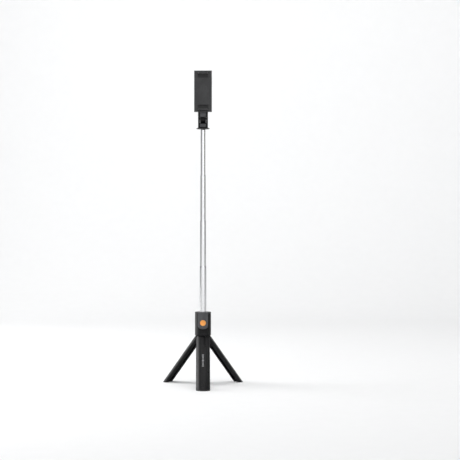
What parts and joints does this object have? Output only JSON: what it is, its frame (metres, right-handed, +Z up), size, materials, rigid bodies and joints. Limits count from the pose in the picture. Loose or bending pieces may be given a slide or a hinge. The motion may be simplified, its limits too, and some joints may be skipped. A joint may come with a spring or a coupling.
{
  "type": "selfie stick",
  "caption": "Telescoping phone stick on an open three-leg stand, with a folding turning spring clamp and a slide-out remote with a round button.",
  "frame": {"origin": "on the floor, at the middle of the outline seen from above", "axes": "+Z up along the mast, -Y to the front, where the remote and the phone face, +X to the right seen from the front"},
  "size_m": [0.1662, 0.148, 0.6382],
  "materials": {
    "black_plastic": "moulded black plastic, satin with a soft sheen",
    "satin_grey": "dark grey moulded plastic, satin",
    "clamp_plastic": "charcoal moulded plastic, fine texture",
    "rubber": "soft black rubber, matte",
    "stainless": "polished stainless tube",
    "steel": "plain steel",
    "orange": "orange moulded plastic, satin",
    "circuit_green": "green solder resist",
    "white_acetal": "white acetal"
  },
  "bodies": {
    "handle": {"head_front_shell": "black_plastic", "head_rear_shell": "black_plastic", "shell_screw_left": "steel", "shell_screw_right": "steel", "head_top_collar": "black_plastic", "outer_tube": "stainless", "tube_end_plug": "black_plastic", "leg_yoke": "black_plastic", "leg_pin_front": "steel", "leg_pin_left": "steel", "leg_pin_right": "steel"},
    "leg_front": {"leg_shell_front": "black_plastic", "foot_pad_front": "rubber"},
    "leg_left": {"leg_shell_left": "black_plastic", "foot_pad_left": "rubber"},
    "leg_right": {"leg_shell_right": "black_plastic", "foot_pad_right": "rubber"},
    "mast_1": {"tube_section_1": "stainless", "tube_bush_1": "white_acetal"},
    "mast_2": {"tube_section_2": "stainless", "tube_bush_2": "white_acetal"},
    "mast_3": {"tube_section_3": "stainless", "tube_bush_3": "white_acetal"},
    "mast_4": {"tube_section_4": "stainless", "tube_bush_4": "white_acetal", "swivel_plug": "white_acetal"},
    "neck": {"neck_body": "black_plastic", "neck_front_panel": "satin_grey", "pan_screw": "steel", "hinge_bolt": "steel", "hinge_nut": "steel", "friction_washer_left": "black_plastic", "friction_washer_right": "black_plastic"},
    "arm": {"clamp_arm": "black_plastic", "swivel_washer": "white_acetal"},
    "clamp": {"clamp_back_plate": "clamp_plastic", "clamp_front_pad": "clamp_plastic", "swivel_rivet": "steel", "jaw_spring_upper": "steel", "jaw_spring_lower": "steel"},
    "jaw_upper": {"jaw_block_upper": "clamp_plastic", "jaw_rod_upper_left": "steel", "jaw_rod_upper_right": "steel", "claw_pin_upper": "steel"},
    "jaw_lower": {"jaw_block_lower": "clamp_plastic", "jaw_rod_lower_left": "steel", "jaw_rod_lower_right": "steel", "claw_pin_lower": "steel"},
    "upper_claw": {"claw_upper": "clamp_plastic", "claw_grip_pad_upper": "rubber"},
    "lower_claw": {"claw_lower": "clamp_plastic", "claw_grip_pad_lower": "rubber"},
    "remote": {"remote_front_shell": "satin_grey", "remote_back_shell": "satin_grey", "battery_door": "satin_grey", "coin_cell": "steel", "circuit_board": "circuit_green", "tact_switch": "steel"},
    "button": {"remote_button": "orange"}
  },
  "joints": [
    {"name": "mast_slide_1", "type": "slide", "parent": "handle", "child": "mast_1", "axis": [0, 0, 1], "range_m": [-0.093, 0]},
    {"name": "mast_slide_2", "type": "slide", "parent": "mast_1", "child": "mast_2", "axis": [0, 0, 1], "range_m": [-0.093, 0]},
    {"name": "mast_slide_3", "type": "slide", "parent": "mast_2", "child": "mast_3", "axis": [0, 0, 1], "range_m": [-0.093, 0]},
    {"name": "mast_slide_4", "type": "slide", "parent": "mast_3", "child": "mast_4", "axis": [0, 0, 1], "range_m": [-0.093, 0]},
    {"name": "leg_swing_front", "type": "hinge", "parent": "handle", "child": "leg_front", "pos_m": [0, 0.00806, 0.09742], "axis": [-1, 0, 0], "range_deg": [-38, 0]},
    {"name": "leg_swing_left", "type": "hinge", "parent": "handle", "child": "leg_left", "pos_m": [-0.01022, 0.02576, 0.09742], "axis": [0.5, 0.866, 0], "range_deg": [-38, 0]},
    {"name": "leg_swing_right", "type": "hinge", "parent": "handle", "child": "leg_right", "pos_m": [0.01022, 0.02576, 0.09742], "axis": [0.5, -0.866, 0], "range_deg": [-38, 0]},
    {"name": "neck_pan", "type": "hinge", "parent": "mast_4", "child": "neck", "pos_m": [0, 0.01986, 0.52262], "axis": [0, 0, 1], "range_deg": [-180, 180]},
    {"name": "arm_fold", "type": "hinge", "parent": "neck", "child": "arm", "pos_m": [0, 0.01986, 0.54372], "axis": [1, 0, 0], "range_deg": [-180, 0]},
    {"name": "clamp_swivel", "type": "hinge", "parent": "arm", "child": "clamp", "pos_m": [0, -0.00664, 0.59672], "axis": [0, -1, 0], "continuous": true},
    {"name": "jaw_slide_upper", "type": "slide", "parent": "clamp", "child": "jaw_upper", "axis": [0, 0, 1], "range_m": [0, 0.012], "stiffness_N_per_m": 250, "springref_m": -0.02, "deforming": ["jaw_spring_upper"]},
    {"name": "jaw_slide_lower", "type": "slide", "parent": "clamp", "child": "jaw_lower", "axis": [0, 0, -1], "range_m": [0, 0.012], "stiffness_N_per_m": 250, "springref_m": -0.02, "deforming": ["jaw_spring_lower"]},
    {"name": "claw_flip_upper", "type": "hinge", "parent": "jaw_upper", "child": "upper_claw", "pos_m": [0, -0.01104, 0.63332], "axis": [-1, 0, 0], "range_deg": [-90, 0]},
    {"name": "claw_flip_lower", "type": "hinge", "parent": "jaw_lower", "child": "lower_claw", "pos_m": [0, -0.01104, 0.56012], "axis": [1, 0, 0], "range_deg": [-90, 0]},
    {"name": "remote_slide", "type": "slide", "parent": "handle", "child": "remote", "axis": [0, 0, 1], "range_m": [0, 0.036]},
    {"name": "button_press", "type": "slide", "parent": "remote", "child": "button", "axis": [0, -1, 0], "range_m": [-0.0006, 0], "stiffness_N_per_m": 800, "springref_m": 0.001}
  ]
}
